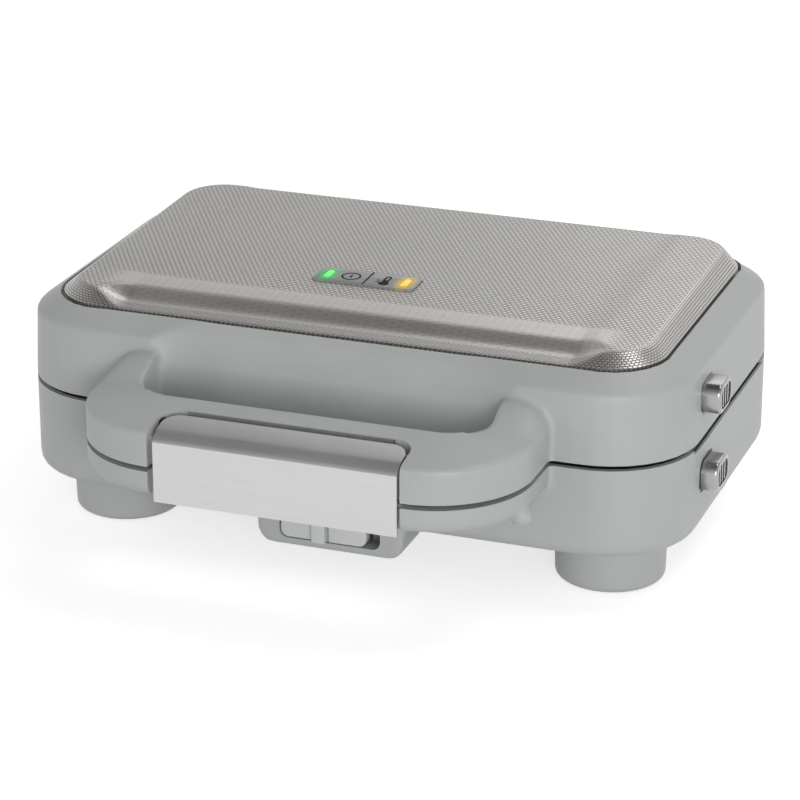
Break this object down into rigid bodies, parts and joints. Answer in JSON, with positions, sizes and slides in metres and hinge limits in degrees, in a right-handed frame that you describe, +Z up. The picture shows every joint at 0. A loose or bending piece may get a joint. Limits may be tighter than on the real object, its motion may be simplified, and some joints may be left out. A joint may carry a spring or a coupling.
{
  "type": "sandwich press",
  "caption": "Hinged toasting press with sealed cooking pockets, a split carrying handle with a front latch, a slide lock, plate-release buttons and indicator lamps.",
  "frame": {"origin": "on the ground, under the centre of the footprint", "axes": "+X to the right seen from the handle side, +Y from the handle to the hinge, +Z up"},
  "size_m": [0.328, 0.2816, 0.1175],
  "materials": {
    "shell_plastic": "satin moulded plastic, cool light grey",
    "pad_rubber": "matt rubber",
    "frame_plastic": "dark heat-resistant moulding",
    "plate_coating": "satin non-stick coating on cast aluminium",
    "element_sheath": "heat-dulled steel sheath",
    "bright_sheet": "bright aluminised sheet",
    "terminal_plastic": "cream moulded terminal block",
    "zinc_steel": "zinc-plated steel",
    "panel_steel": "stainless sheet with a fine pressed linen pattern",
    "bezel_grey": "smooth grey bezel with small printed symbols",
    "lens_green": "green lamp lens",
    "lens_amber": "amber lamp lens",
    "board_green": "printed board",
    "latch_steel": "satin stainless, finely brushed along its length",
    "button_metal": "polished metal cap",
    "slider_plastic": "pale satin plastic"
  },
  "bodies": {
    "base": {"base_shell": "shell_plastic", "front_left_foot": "shell_plastic", "front_right_foot": "shell_plastic", "rear_left_foot": "shell_plastic", "rear_right_foot": "shell_plastic", "foot_pads": "pad_rubber", "base_frame": "frame_plastic", "lower_plate": "plate_coating", "lower_element": "element_sheath", "lower_reflector": "bright_sheet", "terminal_block": "terminal_plastic", "cord_gland": "frame_plastic", "base_screws": "zinc_steel", "hinge_pins": "zinc_steel", "lower_button_spring": "zinc_steel"},
    "lid": {"lid_shell": "shell_plastic", "top_panel": "panel_steel", "indicator_bezel": "bezel_grey", "power_lamp": "lens_green", "ready_lamp": "lens_amber", "lamp_board": "board_green", "lid_frame": "frame_plastic", "upper_plate": "plate_coating", "upper_element": "element_sheath", "upper_reflector": "bright_sheet", "thermostat": "zinc_steel", "lid_screws": "zinc_steel", "latch_pin": "zinc_steel", "upper_button_spring": "zinc_steel"},
    "latch": {"latch_plate": "latch_steel", "latch_carrier": "frame_plastic", "latch_spring": "zinc_steel"},
    "lower_release": {"lower_release_button": "button_metal", "lower_catch": "frame_plastic"},
    "upper_release": {"upper_release_button": "button_metal", "upper_catch": "frame_plastic"},
    "lock": {"lock_slider": "slider_plastic", "lock_bolt": "frame_plastic"}
  },
  "joints": [
    {"name": "lid_hinge", "type": "hinge", "parent": "base", "child": "lid", "pos_m": [-0.004, 0.13485, 0.0697], "axis": [-1, 0, 0], "range_deg": [0, 100]},
    {"name": "latch_pivot", "type": "hinge", "parent": "lid", "child": "latch", "pos_m": [-0.004, -0.12465, 0.085], "axis": [-1, 0, 0], "range_deg": [0, 20], "stiffness_Nm_per_rad": 0.12, "springref_deg": -20.05, "deforming": ["latch_spring"]},
    {"name": "lower_button_slide", "type": "slide", "parent": "base", "child": "lower_release", "axis": [-1, 0, 0], "range_m": [0, 0.003], "stiffness_N_per_m": 900, "springref_m": -0.002, "deforming": ["lower_button_spring"]},
    {"name": "upper_button_slide", "type": "slide", "parent": "lid", "child": "upper_release", "axis": [-1, 0, 0], "range_m": [0, 0.003], "stiffness_N_per_m": 900, "springref_m": -0.002, "deforming": ["upper_button_spring"]},
    {"name": "lock_slide", "type": "slide", "parent": "base", "child": "lock", "axis": [1, 0, 0], "range_m": [0, 0.0065]}
  ]
}
